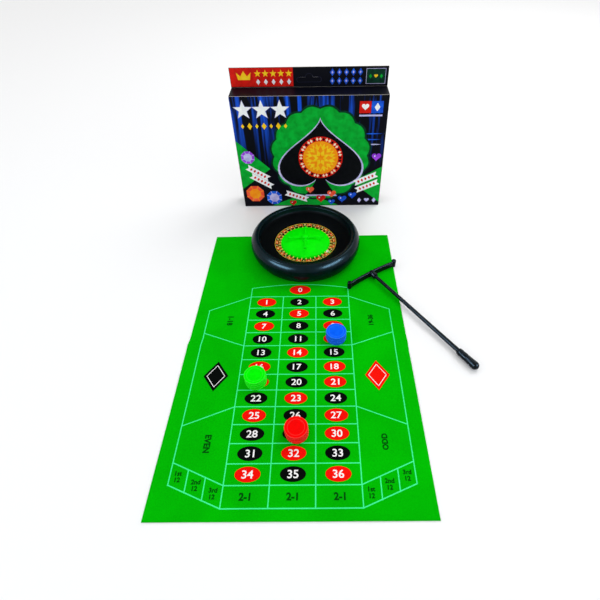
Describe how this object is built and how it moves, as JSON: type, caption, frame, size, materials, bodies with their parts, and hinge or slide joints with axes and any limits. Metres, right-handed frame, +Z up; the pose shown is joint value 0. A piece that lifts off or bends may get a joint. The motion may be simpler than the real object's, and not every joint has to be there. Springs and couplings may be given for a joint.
{
  "type": "roulette game set with carton",
  "caption": "Table-top roulette set: printed play mat, spinning wheel with ball, rake, stacked chips and the hanging carton that stores them.",
  "frame": {"origin": "centre of the play mat's underside, on the table", "axes": "+Z up, +Y from the players' end of the mat to the wheel and the carton behind it, +X to the right"},
  "size_m": [0.3084, 0.4775, 0.186],
  "materials": {
    "printed_sheet": "matte",
    "black_gloss": "gloss",
    "rotor_black": "satin",
    "green_plastic": "gloss",
    "fret_plastic": "gloss",
    "label_paper": "satin",
    "steel": "satin",
    "nylon": "matte",
    "ball_plastic": "gloss",
    "rake_black": "satin",
    "chip_blue": "satin",
    "chip_green": "satin",
    "chip_red": "satin",
    "printed_card": "satin",
    "plain_card": "matte"
  },
  "bodies": {
    "mat": {"betting_mat": "printed_sheet"},
    "wheel_base": {"bowl_shell": "black_gloss", "spindle_pin": "steel", "thrust_washer": "nylon", "spindle_clip": "steel"},
    "rotor": {"rotor_disc": "rotor_black", "rotor_bush": "nylon", "pocket_ring": "label_paper", "number_ring": "label_paper", "fret_ring": "fret_plastic", "rotor_cone": "green_plastic", "turret": "green_plastic"},
    "ball": {"roulette_ball": "ball_plastic"},
    "rake": {"rake_head": "rake_black", "rake_shaft": "rake_black", "rake_grip": "rake_black"},
    "stack_blue": {"chip_stack_blue": "chip_blue"},
    "top_blue": {"chip_top_blue": "chip_blue"},
    "stack_green": {"chip_stack_green": "chip_green"},
    "top_green": {"chip_top_green": "chip_green"},
    "stack_red": {"chip_stack_red": "chip_red"},
    "top_red": {"chip_top_red": "chip_red"},
    "carton": {"carton_front_panel": "printed_card", "carton_back_panel": "printed_card", "carton_left_panel": "printed_card", "carton_right_panel": "printed_card", "glue_flap": "plain_card", "header_ply": "printed_card", "hang_slot_tab": "printed_card", "bottom_outer_flap": "printed_card", "bottom_inner_flap": "plain_card", "bottom_dust_flap_left": "plain_card", "bottom_dust_flap_right": "plain_card"},
    "lid": {"carton_lid": "printed_card"},
    "tuck": {"tuck_tongue": "plain_card"},
    "dust_left": {"dust_flap_left": "plain_card"},
    "dust_right": {"dust_flap_right": "plain_card"}
  },
  "joints": [
    {"name": "wheel_lift", "type": "slide", "parent": "mat", "child": "wheel_base", "axis": [0, 0, 1], "range_m": [0, 0.1]},
    {"name": "rotor_spin", "type": "hinge", "parent": "wheel_base", "child": "rotor", "pos_m": [0.0057, 0.1571, 0.00865], "axis": [0, 0, 1], "continuous": true},
    {"name": "ball_lift", "type": "slide", "parent": "rotor", "child": "ball", "axis": [0, 0, 1], "range_m": [0, 0.06]},
    {"name": "rake_lift", "type": "slide", "parent": "mat", "child": "rake", "axis": [0, 0, 1], "range_m": [0, 0.1]},
    {"name": "stack_blue_lift", "type": "slide", "parent": "mat", "child": "stack_blue", "axis": [0, 0, 1], "range_m": [0, 0.06]},
    {"name": "top_blue_lift", "type": "slide", "parent": "stack_blue", "child": "top_blue", "axis": [0, 0, 1], "range_m": [0, 0.03]},
    {"name": "stack_green_lift", "type": "slide", "parent": "mat", "child": "stack_green", "axis": [0, 0, 1], "range_m": [0, 0.06]},
    {"name": "top_green_lift", "type": "slide", "parent": "stack_green", "child": "top_green", "axis": [0, 0, 1], "range_m": [0, 0.03]},
    {"name": "stack_red_lift", "type": "slide", "parent": "mat", "child": "stack_red", "axis": [0, 0, 1], "range_m": [0, 0.06]},
    {"name": "top_red_lift", "type": "slide", "parent": "stack_red", "child": "top_red", "axis": [0, 0, 1], "range_m": [0, 0.03]},
    {"name": "carton_lift", "type": "slide", "parent": "mat", "child": "carton", "axis": [0, 0, 1], "range_m": [0, 0.1]},
    {"name": "lid_hinge", "type": "hinge", "parent": "carton", "child": "lid", "pos_m": [0.0131, 0.2618, 0.162], "axis": [1, 0, 0], "range_deg": [0, 180]},
    {"name": "tuck_crease", "type": "hinge", "parent": "lid", "child": "tuck", "pos_m": [0.0131, 0.29041, 0.16133], "axis": [-1, 0, 0], "range_deg": [0, 40]},
    {"name": "dust_left_crease", "type": "hinge", "parent": "carton", "child": "dust_left", "pos_m": [-0.0883, 0.277, 0.161], "axis": [0, -1, 0], "range_deg": [0, 90]},
    {"name": "dust_right_crease", "type": "hinge", "parent": "carton", "child": "dust_right", "pos_m": [0.1145, 0.277, 0.161], "axis": [0, 1, 0], "range_deg": [0, 90]}
  ],
  "couplings": [
    {"joint": "dust_left_crease", "follows": "lid_hinge", "ratio": 0.5},
    {"joint": "dust_right_crease", "follows": "lid_hinge", "ratio": 0.5}
  ]
}
